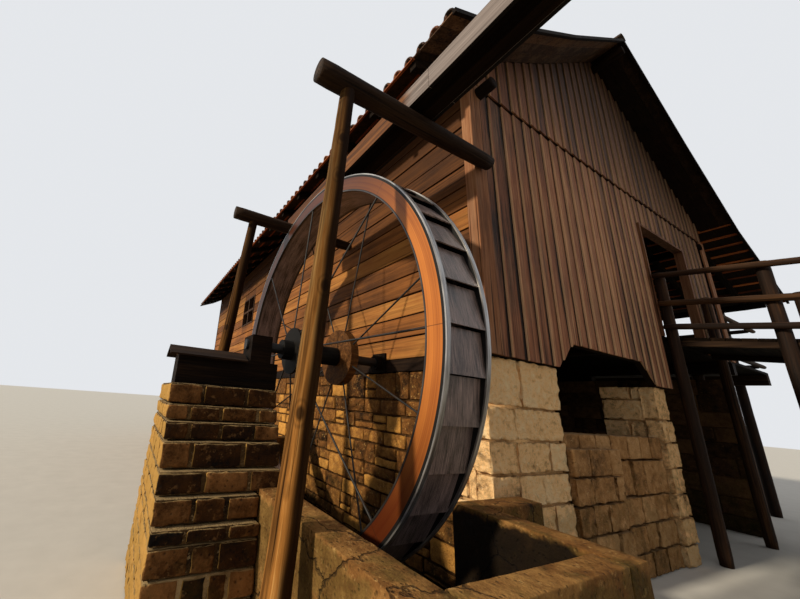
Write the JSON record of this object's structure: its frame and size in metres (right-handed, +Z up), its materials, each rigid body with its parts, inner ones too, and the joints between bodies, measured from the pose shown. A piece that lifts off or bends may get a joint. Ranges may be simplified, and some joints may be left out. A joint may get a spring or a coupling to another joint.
{
  "type": "watermill with overshot wheel",
  "caption": "Timber watermill on a stone base with an overshot wheel, a board flume on log trestles, a walled wheel pit and a railed footbridge.",
  "frame": {"origin": "middle of the footprint at the level of the pit's underside and the foot of the walls", "axes": "+X runs along the gable from the wheel to the veranda, +Y from the gable back along the side walls, +Z up"},
  "size_m": [13.9, 18.4951, 9.0382],
  "materials": {
    "side_stone": "rough coursed stone with moss",
    "gable_stone": "coursed stone with pale mortar",
    "pier_stone": "dark coursed stone with pale mortar",
    "pit_concrete": "weathered concrete with moss",
    "gable_boards": "dark weathered boards",
    "wall_planks": "brown planks",
    "peeled_logs": "peeled logs",
    "dark_timber": "dark beams",
    "clay_tiles": "weathered clay tiles",
    "wheel_rim": "varnished boards",
    "wet_timber": "black wet boards",
    "wheel_iron": "dark iron"
  },
  "bodies": {
    "mill": {"pit_floor": "pit_concrete", "pit_outer_wall": "pit_concrete", "pit_end_walls": "pit_concrete", "pit_inner_wall": "pit_concrete", "bearing_pier": "pier_stone", "bearing_beam": "dark_timber", "wheel_bearings": "dark_timber", "side_stone_wall": "side_stone", "gable_stone_left": "gable_stone", "gable_stone_right": "gable_stone", "passage_steps": "gable_stone", "rear_stone_wall": "side_stone", "support_posts": "dark_timber", "sill_beams": "dark_timber", "floor": "wall_planks", "side_plank_wall": "wall_planks", "gable_wall_left": "gable_boards", "gable_wall_right": "gable_boards", "gable_wall_at_door": "gable_boards", "gable_upper": "gable_boards", "rear_gable_wall": "gable_boards", "east_wall": "wall_planks", "wall_plates": "dark_timber", "door_frame": "dark_timber", "window_frame": "dark_timber", "roof_west": "clay_tiles", "roof_east": "clay_tiles", "ridge_cap": "clay_tiles", "rafters": "dark_timber", "verge_boards": "dark_timber", "veranda_floor": "wall_planks", "veranda_railing": "dark_timber", "footbridge_deck": "wall_planks", "footbridge_posts": "dark_timber", "footbridge_rails": "dark_timber", "flume_floor": "gable_boards", "flume_sides": "gable_boards", "trestle_posts": "peeled_logs", "trestle_beams": "dark_timber"},
    "wheel": {"wheel_shrouds": "wheel_rim", "wheel_hoops": "wheel_iron", "wheel_drum": "wet_timber", "wheel_spokes": "wheel_iron", "wheel_hub": "wheel_iron", "wheel_shaft": "wheel_iron"}
  },
  "joints": [
    {"name": "wheel_turn", "type": "hinge", "parent": "mill", "child": "wheel", "pos_m": [-5.162, -3.20135, 2.369], "axis": [1, 0, 0], "continuous": true}
  ]
}
